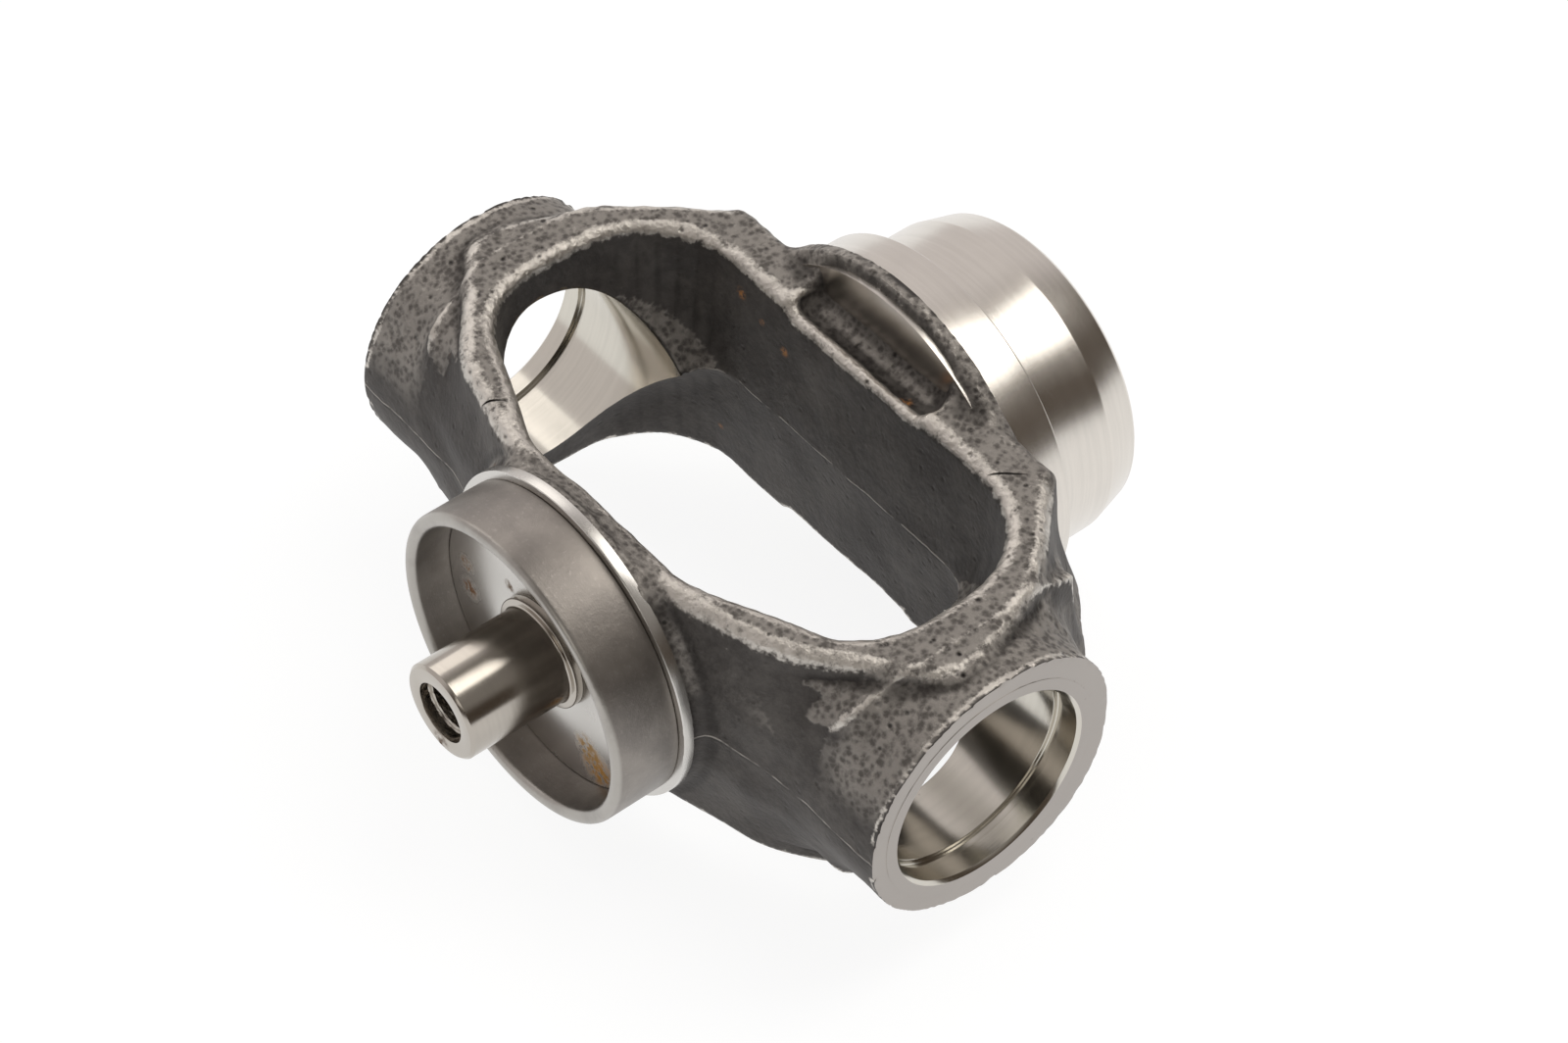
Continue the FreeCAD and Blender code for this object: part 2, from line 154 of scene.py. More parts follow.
lampSizes = {
    # name: direction from the object, distance, width, height, radiance
    "overhead": ((0.20, 0.43, 0.86), 0.75, 0.62, 0.40, 2.6),
    "leftSoft": ((-0.80, 0.05, 0.60), 0.80, 0.50, 0.50, 1.1),
    "frontFill": ((0.35, -0.85, 0.45), 0.95, 0.40, 0.40, 0.9),
}


# Soft rectangles that face the object; their power follows from radiance and area.
def makeLamps(sizes):
    aim = Vector((0, 0.008, 0))
    for name, (direction, distance, width, height, radiance) in sizes.items():
        data = bpy.data.lights.new(name, "AREA")
        data.shape = "RECTANGLE"
        data.size, data.size_y = width, height
        data.energy = radiance * math.pi * width * height
        data.color = (1.0, 0.975, 0.93)
        lamp = bpy.data.objects.new(name, data)
        bpy.context.scene.collection.objects.link(lamp)
        towards = Vector(direction).normalized()
        lamp.location = aim + towards * distance
        lamp.rotation_mode = "QUATERNION"
        lamp.rotation_quaternion = towards.to_track_quat("Z", "X")


floorSizes = {"radius": 3, "gap": 0.0001, "steps": 96, "glow": 1.07, "glowShare": 0.82}


# A white disc under the lowest point. What the camera sees is mostly its own glow, the rest is lit and
# keeps a little of the object's shadow.
def makeFloor(sizes):
    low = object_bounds()[0].z
    radius, steps = sizes["radius"], sizes["steps"]
    turn = np.linspace(0, 2 * np.pi, steps, endpoint=False)
    rim = np.stack([radius * np.cos(turn), radius * np.sin(turn), np.full(steps, low - sizes["gap"])], 1)
    mesh = bpy.data.meshes.new("floor")
    mesh.from_pydata(rim.tolist(), [], [list(range(steps))])
    floor = bpy.data.objects.new("floor", mesh)
    bpy.context.scene.collection.objects.link(floor)
    material = bpy.data.materials.new("paleFloor")
    material.use_nodes = True
    tree = material.node_tree
    tree.nodes.clear()
    coords = put(tree, "ShaderNodeTexCoord").outputs["Object"]
    grain = put(tree, "ShaderNodeTexNoise", Vector=coords, Scale=40.0, Detail=3.0).outputs[0]
    tint = blendColour(tree, grain, (0.97, 0.97, 0.97), (1, 1, 1))
    lit = put(tree, "ShaderNodeBsdfDiffuse", Color=tint)
    glow = put(tree, "ShaderNodeEmission", Color=(1, 1, 1, 1), Strength=sizes["glow"])
    rays = put(tree, "ShaderNodeLightPath")
    seen = calc(tree, "ADD", rays.outputs["Is Camera Ray"], rays.outputs["Is Glossy Ray"], clamp=True)
    seen = calc(tree, "ADD", seen, rays.outputs["Is Transmission Ray"], clamp=True)
    share = calc(tree, "MULTIPLY", seen, sizes["glowShare"])
    both = put(tree, "ShaderNodeMixShader", i0=share, i1=lit.outputs[0], i2=glow.outputs[0])
    put(tree, "ShaderNodeOutputMaterial", Surface=both.outputs[0])
    mesh.materials.append(material)
    floor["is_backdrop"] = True


makeCamera(viewSizes)
makeWorld(roomColours)
makeLamps(lampSizes)
makeFloor(floorSizes)
bpy.context.scene.view_settings.view_transform = "Standard"
print("camera, lamps and floor made")


# materials
def newMaterial(name):
    material = bpy.data.materials.new(name)
    material.use_nodes = True
    material.node_tree.nodes.clear()
    return material, material.node_tree


def noise(tree, where, scale, detail=3.0, roughness=0.55, distortion=0.0):
    return put(tree, "ShaderNodeTexNoise", Vector=where, Scale=scale, Detail=detail, Roughness=roughness,
               Distortion=distortion).outputs[0]


def cells(tree, where, scale):
    node = put(tree, "ShaderNodeTexVoronoi", {"feature": "F1"}, Vector=where, Scale=scale)
    return node.outputs["Distance"]


def stretched(tree, coords, scale):
    return put(tree, "ShaderNodeMapping", Vector=coords, Scale=scale).outputs[0]


def bumped(tree, height, distance, strength=1.0, base=None):
    node = put(tree, "ShaderNodeBump", Height=height, Distance=distance, Strength=strength)
    if base is not None:
        tree.links.new(base, node.inputs["Normal"])
    return node.outputs[0]


def finishMaterial(tree, colour, roughness, metallic, normal, **constants):
    shader = put(tree, "ShaderNodeBsdfPrincipled", Base_Color=colour, Roughness=roughness, Metallic=metallic,
                 Normal=normal, **constants)
    put(tree, "ShaderNodeOutputMaterial", Surface=shader.outputs[0])


# 1 inside a ball round a place in millimetres, falling to 0 over its edge.
def spot(tree, coords, centre, radius, edge):
    away = put(tree, "ShaderNodeVectorMath", {"operation": "DISTANCE"}, i0=coords, i1=[c * mm for c in centre])
    return stepped(tree, away.outputs["Value"], (radius + edge) * mm, radius * mm)


forgedSizes = {
    "scale": (0.052, 0.046, 0.043),
    "scaleLight": (0.100, 0.091, 0.084),
    # the grain's colours, for thin scale and, as painted light, for what faces up
    "bareAndLitDark": (0.115, 0.104, 0.095),
    "bareAndLitLight": (0.300, 0.278, 0.255),
    # rubbed edges, with some painted sheen where it faces up
    "wornAndSheen": (0.60, 0.565, 0.52),
    # painted shade, in the hollows and just under the flash line
    "paintedShade": (0.022, 0.018, 0.016),
    "rust": (0.42, 0.17, 0.035),
    "pit": (0.012, 0.010, 0.009),
    # painted highlight along the flash line
    "seam": (0.42, 0.39, 0.36),
    "crease": (0.010, 0.008, 0.007),
    # place in millimetres and radius
    "rustSpots": [((-34.6, -14.6, 14.0), 0.7), ((-20.2, 18.9, 14.2), 1.0), ((-11.8, 18.9, 10.7), 0.8),
                  ((7.7, 21.7, 16.4), 0.9), ((-23.8, 18.7, -12.0), 0.6), ((-16.0, 18.9, 12.6), 0.6)],
    # two creases in the land and one in the front arm: middle, half length, angle
    "creases": [((-21.5, -17.2, 18.5), 1.5, 0.78), ((25.4, 21.7, 18.5), 2.1, 0.85),
                ((20.8, -18.9, -1.0), 4.4, 0.55)],
}


# 1 along a short dark line, 0 past its edge: a long thin ball turned about the upright axis.
def dash(tree, coords, centre, half, angle, width=0.16, depth=2.2):
    local = put(tree, "ShaderNodeMapping", {"vector_type": "TEXTURE"}, Vector=coords,
                Location=[c * mm for c in centre], Rotation=(0, 0, angle),
                Scale=(half * mm, width * mm, depth * mm)).outputs[0]
    away = put(tree, "ShaderNodeVectorMath", {"operation": "LENGTH"}, i0=local).outputs["Value"]
    return stepped(tree, away, 1.25, 0.55)


# Dark scale on the walls; where it is thin, and as painted light where it faces up, grey grains with silver
# tips and black pits; ridges rubbed bright, with painted sheen where it faces up; painted shade in the
# hollows; a wavering flash line at the parting plane, with a painted highlight on it and a painted shadow
# under it; a few creases and rust specks.
def forgedMaterial(sizes):
    material, tree = newMaterial("forgedScale")
    coords = put(tree, "ShaderNodeTexCoord").outputs["Object"]

    def field(name):
        return put(tree, "ShaderNodeAttribute", {"attribute_name": name}).outputs["Fac"]

    def times(a, b):
        return calc(tree, "MULTIPLY", a, b)

    def plus(a, b):
        return calc(tree, "ADD", a, b)

    ridge, hollow, rough, bareAndLit = field("ridge"), field("hollow"), field("rough"), field("bareAndLit")
    broad = noise(tree, coords, 95.0, 4.0)
    medium = noise(tree, coords, 520.0, 5.0, 0.68)
    fine = noise(tree, coords, 1700.0, 4.0, 0.72)
    grit = cells(tree, coords, 1150.0)
    pits = cells(tree, coords, 480.0)
    mottle = stepped(tree, plus(times(medium, 0.5), times(broad, 0.5)), 0.38, 0.66)
    walls = blendColour(tree, mottle, sizes["scale"], sizes["scaleLight"])
    grain = plus(plus(times(medium, 0.50), times(fine, 0.32)), times(grit, 0.30))
    grainy = blendColour(tree, stepped(tree, grain, 0.42, 0.64), sizes["bareAndLitDark"], sizes["bareAndLitLight"])
    # the grain where the scale is thin, and as painted light where it faces up; the dark wall scale elsewhere
    thinAndLit = stepped(tree, plus(bareAndLit, times(calc(tree, "SUBTRACT", broad, 0.5), 1.1)), 0.15, 0.85)
    colour = blendColour(tree, thinAndLit, walls, grainy)
    fromMedium, fromFine = calc(tree, "SUBTRACT", medium, 0.5), calc(tree, "SUBTRACT", fine, 0.5)
    speckle = plus(times(fromMedium, 1.7), times(fromFine, 1.5))
    # rubbed ridges and grain flecks, with painted sheen added where it faces up
    edge = plus(plus(times(ridge, 0.95), times(bareAndLit, 0.22)), speckle)
    rubbed = stepped(tree, edge, 0.45, 1.15)
    colour = blendColour(tree, rubbed, colour, sizes["wornAndSheen"])
    # painted shade darkens the hollows
    colour = blendColour(tree, times(hollow, stepped(tree, broad, 0.3, 0.6, 0.45, 0.8)), colour, sizes["paintedShade"])
    black = times(stepped(tree, pits, 0.20, 0.06), times(rough, stepped(tree, medium, 0.40, 0.55)))
    colour = blendColour(tree, times(black, 0.85), colour, sizes["pit"])
    # flash line: height from the parting plane, shifted by a slow wave
    upright = put(tree, "ShaderNodeSeparateXYZ", Vector=coords).outputs[2]
    wander = times(calc(tree, "SUBTRACT", noise(tree, coords, 160.0, 3.0), 0.5), 0.0011)
    fromSeam = plus(upright, wander)
    broken = stepped(tree, noise(tree, coords, 300.0, 3.0), 0.36, 0.52)
    seam = times(stepped(tree, calc(tree, "ABSOLUTE", fromSeam), 0.00022, 0.00006), broken)
    # painted shadow just under the flash line; a painted highlight on it follows
    under = times(stepped(tree, calc(tree, "ABSOLUTE", plus(fromSeam, 0.00028)), 0.00030, 0.00010), broken)
    colour = blendColour(tree, times(under, 0.75), colour, sizes["paintedShade"])
    colour = blendColour(tree, times(seam, 0.80), colour, sizes["seam"])
    crease = None
    for centre, half, angle in sizes["creases"]:
        line = dash(tree, coords, centre, half, angle)
        crease = line if crease is None else calc(tree, "MAXIMUM", crease, line)
    colour = blendColour(tree, crease, colour, sizes["crease"])
    rusty = times(stepped(tree, noise(tree, coords, 95.0, 2.0), 0.74, 0.76), stepped(tree, fine, 0.45, 0.6))
    for centre, radius in sizes["rustSpots"]:
        here = times(spot(tree, coords, centre, radius * 0.3, radius), stepped(tree, fine, 0.42, 0.56))
        rusty = calc(tree, "MAXIMUM", rusty, here)
    colour = blendColour(tree, rusty, colour, sizes["rust"])
    roughness = calc(tree, "SUBTRACT", plus(0.52, times(medium, 0.14)), times(rubbed, 0.20))
    metallic = plus(plus(0.55, times(thinAndLit, 0.2)), times(rubbed, 0.25))
    metallic = calc(tree, "SUBTRACT", metallic, rusty, clamp=True)
    relief = plus(times(medium, 0.55), times(grit, 0.25))
    relief = calc(tree, "SUBTRACT", relief, times(stepped(tree, pits, 0.24, 0.02), 0.45))
    relief = plus(times(relief, plus(times(rough, 0.80), 0.20)), times(seam, 0.30))
    relief = calc(tree, "SUBTRACT", relief, times(crease, 0.8))
    normal = bumped(tree, relief, 0.00048, 1.0)
    normal = bumped(tree, fine, 0.00012, 0.8, normal)
    finishMaterial(tree, colour, roughness, metallic, normal)
    return material


# Bright metal cut on a lathe: fine lines across the axis, soft clouding, a few dark pits, and stains.
def turnedMaterial(name, axis, colour, roughness, lines=0.0000035, spots=0.5, cloud=0.18, stains=()):
    material, tree = newMaterial(name)
    coords = put(tree, "ShaderNodeTexCoord").outputs["Object"]
    squash = [40.0, 40.0, 40.0]
    squash["XYZ".index(axis)] = 9000.0
    grooves = noise(tree, stretched(tree, coords, squash), 1.0, 3.0, 0.7)
    wide = list(squash)
    wide["XYZ".index(axis)] = 1400.0
    bands = noise(tree, stretched(tree, coords, wide), 1.0, 2.0)
    haze = noise(tree, coords, 160.0, 4.0)
    dark = [c * 0.72 for c in colour]
    tone = calc(tree, "ADD", calc(tree, "MULTIPLY", bands, 0.6), calc(tree, "MULTIPLY", haze, 0.4))
    shade = blendColour(tree, calc(tree, "MULTIPLY", stepped(tree, tone, 0.62, 0.38), cloud), colour, dark)
    pit = stepped(tree, cells(tree, coords, 260.0), 0.055, 0.025)
    pit = calc(tree, "MULTIPLY", pit, stepped(tree, noise(tree, coords, 60.0, 1.0), 0.55, 0.62))
    shade = blendColour(tree, calc(tree, "MULTIPLY", pit, spots), shade, (0.05, 0.035, 0.02))
    rusty = None
    fine = noise(tree, coords, 900.0, 4.0, 0.7)
    for centre, radius, edge, tint in stains:
        here = calc(tree, "MULTIPLY", spot(tree, coords, centre, radius, edge), stepped(tree, fine, 0.38, 0.58))
        shade = blendColour(tree, here, shade, tint)
        rusty = here if rusty is None else calc(tree, "MAXIMUM", rusty, here)
    rougher = calc(tree, "ADD", roughness - 0.05, calc(tree, "MULTIPLY", haze, 0.10))
    if rusty is not None:
        rougher = calc(tree, "ADD", rougher, calc(tree, "MULTIPLY", rusty, 0.4), clamp=True)
        metallic = calc(tree, "SUBTRACT", 1.0, calc(tree, "MULTIPLY", rusty, 0.8))
    else:
        metallic = 1.0
    normal = bumped(tree, grooves, lines, 1.0)
    finishMaterial(tree, shade, rougher, metallic, normal)
    return material


cupColours = {
    "dark": (0.235, 0.215, 0.198), "light": (0.330, 0.302, 0.276), "speckle": (0.42, 0.39, 0.36),
    "ring": (0.34, 0.32, 0.30), "rim": (0.42, 0.40, 0.37),
}


# Dull drawn steel: brown-grey, fine pale speckle, faint rings, brighter where the rim is rubbed.
def cupMaterial(colours):
    material, tree = newMaterial("cupSteel")
    coords = put(tree, "ShaderNodeTexCoord").outputs["Object"]
    parts = put(tree, "ShaderNodeSeparateXYZ", Vector=coords)
    rings = noise(tree, stretched(tree, coords, (30.0, 5200.0, 30.0)), 1.0, 3.0, 0.7)
    haze = noise(tree, coords, 130.0, 4.0)
    fine = noise(tree, coords, 1900.0, 3.0, 0.7)
    colour = blendColour(tree, stepped(tree, haze, 0.35, 0.68), colours["dark"], colours["light"])
    speckle = calc(tree, "MULTIPLY", stepped(tree, fine, 0.56, 0.70), 0.30)
    colour = blendColour(tree, speckle, colour, colours["speckle"])
    ring = calc(tree, "MULTIPLY", stepped(tree, rings, 0.60, 0.72), 0.16)
    colour = blendColour(tree, ring, colour, colours["ring"])
    rim = stepped(tree, parts.outputs[1], -0.0310, -0.0316)
    rubbed = calc(tree, "MULTIPLY", rim, stepped(tree, haze, 0.3, 0.55, 0.5, 0.95))
    colour = blendColour(tree, rubbed, colour, colours["rim"])
    roughness = calc(tree, "ADD", 0.36, calc(tree, "MULTIPLY", haze, 0.14))
    roughness = calc(tree, "SUBTRACT", roughness, calc(tree, "MULTIPLY", rim, 0.10))
    normal = bumped(tree, fine, 0.00004, 0.7)
    normal = bumped(tree, rings, 0.000012, 0.8, normal)
    finishMaterial(tree, colour, roughness, 0.95, normal)
    return material


forgedScale = forgedMaterial(forgedSizes)
hubSteel = turnedMaterial("hubSteel", "Y", (0.70, 0.66, 0.61), 0.24)
boreSteel = turnedMaterial("boreSteel", "X", (0.62, 0.59, 0.53), 0.17)
faceSteel = turnedMaterial("faceSteel", "X", (0.40, 0.37, 0.345), 0.40, lines=0.000008, spots=0.2)
pinSteel = turnedMaterial("pinSteel", "Y", (0.46, 0.425, 0.38), 0.17, spots=0.2, stains=[
    ((-0.2, -41.7, -5.1), 0.5, 1.2, (0.10, 0.05, 0.02)), ((2.6, -40.9, 1.5), 0.6, 1.2, (0.12, 0.06, 0.02))])
floorSteel = turnedMaterial("spigotSteel", "Y", (0.62, 0.60, 0.57), 0.26, stains=[
    ((-14.7, -26.5, -2.1), 0.6, 1.6, (0.16, 0.07, 0.02)), ((-15.1, -26.5, 1.9), 0.5, 1.2, (0.20, 0.09, 0.02)),
    ((-6.5, -26.5, 5.5), 0.3, 0.8, (0.14, 0.07, 0.02)), ((9.5, -26.5, -13.1), 1.4, 2.6, (0.42, 0.20, 0.03)),
    ((7.7, -26.5, -11.1), 0.8, 2.2, (0.36, 0.20, 0.05))])
cupSteel = cupMaterial(cupColours)
print("materials made")


# shapes
# A mesh from points in millimetres and an array of quads or triangles, one after another.
def makePiece(name, points, faces, materials, slots=None, smoothAngle=38, fields=None):
    mesh = bpy.data.meshes.new(name)
    faces = np.asarray(faces, np.int32)
    count, corners = faces.shape
    mesh.vertices.add(len(points))
    mesh.vertices.foreach_set("co", (np.asarray(points) * mm).astype(np.float32).ravel())
    mesh.loops.add(faces.size)
    mesh.loops.foreach_set("vertex_index", faces.ravel())
    mesh.polygons.add(count)
    mesh.polygons.foreach_set("loop_start", np.arange(0, faces.size, corners, dtype=np.int32))
    mesh.polygons.foreach_set("use_smooth", np.ones(count, bool))
    for material in materials:
        mesh.materials.append(material)
    if slots is not None:
        mesh.polygons.foreach_set("material_index", np.asarray(slots, np.int32))
    for key, values in (fields or {}).items():
        layer = mesh.attributes.new(key, "FLOAT", "POINT")
        layer.data.foreach_set("value", np.asarray(values, np.float32))
    mesh.update(calc_edges=True)
    mesh.validate()
    mesh.set_sharp_from_angle(angle=math.radians(smoothAngle))
    piece = bpy.data.objects.new(name, mesh)
    bpy.context.scene.collection.objects.link(piece)
    return piece


# A line through corners (a, b[, radius]); a radius turns its corner into an arc that touches both runs.
def roundedPath(corners, steps=5, closed=True):
    path = []
    count = len(corners)
    for i, corner in enumerate(corners):
        here = np.array(corner[:2], float)
        if len(corner) < 3 or (not closed and i in (0, count - 1)):
            path.append(here)
            continue
        before = np.array(corners[i - 1][:2], float) - here
        after = np.array(corners[(i + 1) % count][:2], float) - here
        before /= np.linalg.norm(before)
        after /= np.linalg.norm(after)
        half = math.acos(np.clip(before @ after, -1, 1)) / 2
        run = corner[2] / math.tan(half)
        start, end = here + before * run, here + after * run
        centre = here + (before + after) / np.linalg.norm(before + after) * corner[2] / math.sin(half)
        first = math.atan2(*(start - centre)[::-1])
        sweep = (math.atan2(*(end - centre)[::-1]) - first + math.pi) % (2 * math.pi) - math.pi
        turn = first + sweep * np.linspace(0, 1, steps + 1)
        path.extend(centre + corner[2] * np.stack([np.cos(turn), np.sin(turn)], 1))
    return np.array(path)


# A profile (radius, along) carried round an axis. shape may move the whole grid of radius and along.
def turnedPiece(name, profile, axis, materials, steps=256, slots=None, shape=None, smoothAngle=38):
    turn = np.linspace(0, 2 * np.pi, steps, endpoint=False)[:, None]
    radius = np.repeat(profile[None, :, 0], steps, 0)
    along = np.repeat(profile[None, :, 1], steps, 0)
    if shape is not None:
        radius, along = shape(turn, radius, along)
    cosine, sine = radius * np.cos(turn), radius * np.sin(turn)
    if axis == "X":
        points = np.stack([along, cosine, sine], 2).reshape(-1, 3)
    else:
        points = np.stack([cosine, along, sine], 2).reshape(-1, 3)
    n = profile.shape[0]
    i, j = np.meshgrid(np.arange(steps), np.arange(n), indexing="ij")
    iNext, jNext = (i + 1) % steps, (j + 1) % n
    faces = np.stack([i * n + j, iNext * n + j, iNext * n + jNext, i * n + jNext], 2).reshape(-1, 4)
    slotList = None if slots is None else np.tile(np.asarray(slots), steps)
    piece = makePiece(name, points, faces, materials, slotList, smoothAngle)
    work = bmesh.new()
    work.from_mesh(piece.data)
    bmesh.ops.remove_doubles(work, verts=work.verts, dist=1e-7)
    bmesh.ops.dissolve_degenerate(work, edges=work.edges, dist=1e-8)
    bmesh.ops.recalc_face_normals(work, faces=work.faces)
    work.to_mesh(piece.data)
    work.free()
    piece.data.set_sharp_from_angle(angle=math.radians(smoothAngle))
    return piece


# The smaller of two fields, with a concave blend about k wide where they meet: it takes away the square
# of what k exceeds their difference by, over four k.
def roundMin(a, b, k):
    return np.minimum(a, b) - np.maximum(k - np.abs(a - b), 0) ** 2 / (4 * k)


# The larger of two fields, with the edge between them rounded to radius r: near the edge it is the
# distance from the line where both are r inside.
def roundMax(a, b, r):
    return np.minimum(np.maximum(a, b), -r) + np.hypot(np.maximum(a + r, 0), np.maximum(b + r, 0))


# 0 below low, 1 above high, and t squared times 3 less 2t between them.
def rise(value, low, high):
    t = np.clip((value - low) / (high - low), 0, 1)
    return t * t * (3 - 2 * t)


# Distance to an outline in a plane, negative inside, read back from a fine table of it.
def planField(corners, reach, step=0.25):
    line = roundedPath(corners, 8)
    a, b = line, np.roll(line, -1, 0)
    keep = np.linalg.norm(b - a, axis=1) > 1e-6
    a, b = a[keep], b[keep]
    (x0, x1), (y0, y1) = reach
    xs, ys = np.arange(x0, x1 + step, step), np.arange(y0, y1 + step, step)
    px, py = np.meshgrid(xs, ys, indexing="ij")
    nearest = np.full(px.shape, 1e9)
    inside = np.zeros(px.shape, bool)
    for (ax, ay), (bx, by) in zip(a, b):
        dx, dy = bx - ax, by - ay
        t = np.clip(((px - ax) * dx + (py - ay) * dy) / (dx * dx + dy * dy), 0, 1)
        nearest = np.minimum(nearest, (px - ax - t * dx) ** 2 + (py - ay - t * dy) ** 2)
        if ay != by:
            inside ^= ((ay > py) != (by > py)) & (px < (py - ay) * dx / dy + ax)
    table = np.sqrt(nearest) * np.where(inside, -1, 1)

    def read(x, y):
        u = np.clip((x - x0) / step, 0, len(xs) - 1.001)
        v = np.clip((y - y0) / step, 0, len(ys) - 1.001)
        i, j = u.astype(int), v.astype(int)
        u, v = u - i, v - j
        return ((table[i, j] * (1 - u) + table[i + 1, j] * u) * (1 - v)
                + (table[i, j + 1] * (1 - u) + table[i + 1, j + 1] * u) * v)

    return read


# The right half of an outline and its mirror image.
def bothSides(right):
    return right + [(-c[0],) + tuple(c[1:]) for c in reversed(right) if c[0] > 1e-9]


# the forging's skin
# lengths in millimetres, angles in degrees; an outline lists x, y and the radius of its corner
forging = {
    "landHeight": 18.6, "landEdge": 1.9, "ringDraft": 5.0, "skirtDraft": 24.0, "skirtBlend": 2.5,
    "ringPlan": [(0, -22.3), (12.5, -22.3, 10), (30.0, -17.7, 22), (46.8, -4.2, 6.5), (46.8, 2, 7.5),
                 (40.6, 16.2, 32), (29.0, 28.4, 3.4), (0, 28.4)],
    "skirtPlan": [(0, 2), (46.4, 2), (46.4, 16.7, 3), (31.4, 28.8, 3.5), (0, 28.8)],
    "faceReach": 48.27, "bossRadius": 17.55, "bossDraft": 0.9, "bossRoot": 21.0, "bossLobe": 0.9,
    "boreRadius": 13.53, "mouthRadius": 15.0, "mouthFrom": 43.0,
    "windowEnd": 35.8, "windowRear": 19.7, "windowFront": 17.1, "windowDraft": 4.0, "windowEdge": 1.7,
    "windowStraight": 13.5, "windowSlant": 22,
    "tongueReach": 24.7, "tongueHeight": 10.1, "tongueFront": 13.5, "tongueEdge": 0.5, "tongueBlend": 4.5,
    # depth of the blend at the boss, then where it fades: near the land, near the face, above the seam
    "valleyBlend": 4.5, "rearBlend": 3.5, "leastBlend": 0.8,
    "fadeTop": (14.0, 17.2), "fadeFace": (43, 48), "fadeSeam": (1.0, 7.0),
    # turned about the shaft: radius and y of the front block and of the rear rim
    "frontPlan": [(0, -22.3), (21.5, -22.3), (21.0, -20.7), (18.0, -19.2), (18.0, -15.8), (0, -15.8)],
    "rimPlan": [(0, 18.0), (18.2, 18.0), (18.2, 21.4), (26.0, 26.1, 0.6), (26.0, 27.7), (0, 27.7)],
    "frontBlend": 2.5, "rimBlend": 1.5,
    # clearance pocket in the rear bridge, as y and height
    "pocketPlan": [(16.5, 17.1), (20.8, 17.1, 0.8), (22.0, 15.7, 1.5), (25.2, 17.6, 3.0), (26.0, 29.0),
                   (16.5, 29.0)],
    "pocketEnd": 12.2, "pocketRound": 2.0, "pocketEdge": 0.9,
    "cell": 0.56,
}


# The forging as one field: negative inside, forms joined by concave blends and cut by the window and
# pockets. A form with draft is its outline's distance plus height times the draft's slope.
def forgingField(sizes):
    reach, turnedReach = ((-58, 58), (-36, 38)), ((-60, 60), (-36, 38))
    ringPlan = planField(bothSides(sizes["ringPlan"]), reach)
    skirtPlan = planField(bothSides(sizes["skirtPlan"]), reach)
    slope = math.tan(math.radians(sizes["windowDraft"]))
    inward = sizes["landHeight"] * slope
    straight = sizes["windowStraight"]
    slant = (sizes["windowEnd"] - straight) * math.tan(math.radians(sizes["windowSlant"]))
    windowPlan = planField(bothSides([
        (0, inward - sizes["windowFront"]), (straight, inward - sizes["windowFront"], 9),
        (sizes["windowEnd"] - inward, slant - sizes["windowFront"] + inward, 10),
        (sizes["windowEnd"] - inward, sizes["windowRear"] - inward, 12),
        (0, sizes["windowRear"] - inward)]), reach)
    frontPlan = planField(bothSides(sizes["frontPlan"]), turnedReach)
    rimPlan = planField(bothSides(sizes["rimPlan"]), turnedReach)
    pocketPlan = planField(sizes["pocketPlan"], ((-36, 40), (-5, 40)))
    ringTurn, skirtTurn = math.radians(sizes["ringDraft"]), math.radians(sizes["skirtDraft"])
    ringTan, ringCos = math.tan(ringTurn), math.cos(ringTurn)
    skirtTan, skirtCos = math.tan(skirtTurn), math.cos(skirtTurn)
    windowCos = math.cos(math.radians(sizes["windowDraft"]))
    bossTan = math.tan(math.radians(sizes["bossDraft"]))
    tongueTan = sizes["tongueHeight"] / (sizes["windowEnd"] - sizes["tongueReach"])
    tongueCos = 1 / math.hypot(1, tongueTan)
    height = sizes["landHeight"]

    def solid(x, y, z):
        ax, az = np.abs(x), np.abs(z)
        ring = roundMax((ringPlan(x, y) + az * ringTan) * ringCos, az - height, sizes["landEdge"])
        skirt = np.maximum((skirtPlan(x, y) + az * skirtTan) * skirtCos, az - height + sizes["landEdge"])
        body = roundMin(ring, skirt, sizes["skirtBlend"])
        fromAxis = np.hypot(y, z)
        lobe = np.maximum((y + az) / np.maximum(fromAxis, 1e-6) / 1.4142, 0) ** 4
        boss = fromAxis - sizes["bossRadius"] - (sizes["faceReach"] - ax) * bossTan
        boss = np.maximum(boss - sizes["bossLobe"] * lobe, sizes["bossRoot"] - ax)
        k = np.where(y < 0, sizes["valleyBlend"], sizes["rearBlend"])
        k = k * (1 - rise(az, *sizes["fadeTop"])) * (1 - 0.55 * rise(ax, *sizes["fadeFace"]))
        k = (k + sizes["leastBlend"]) * (0.35 + 0.65 * rise(az, *sizes["fadeSeam"]))
        body = np.maximum(roundMin(body, boss, k), az - height)
        aroundShaft = np.hypot(x, z)
        body = roundMin(body, frontPlan(aroundShaft, y), sizes["frontBlend"])
        body = roundMin(body, rimPlan(aroundShaft, y), sizes["rimBlend"])
        window = (windowPlan(x, y) - az * slope) * windowCos
        body = roundMax(body, -window, sizes["windowEdge"])
        tongue = (az - (ax - sizes["tongueReach"]) * tongueTan) * tongueCos
        tongue = np.maximum(tongue, ax - sizes["windowEnd"] - 2)
        tongueEnds = np.maximum(-sizes["tongueFront"] - y, y - sizes["windowRear"] - 1)
        body = roundMin(body, roundMax(tongue, tongueEnds, sizes["tongueEdge"]), sizes["tongueBlend"])
        pocket = roundMax(pocketPlan(y, az), ax - sizes["pocketEnd"], sizes["pocketRound"])
        body = roundMax(body, -pocket, sizes["pocketEdge"])
        return np.maximum(body, ax - sizes["faceReach"])

    return solid


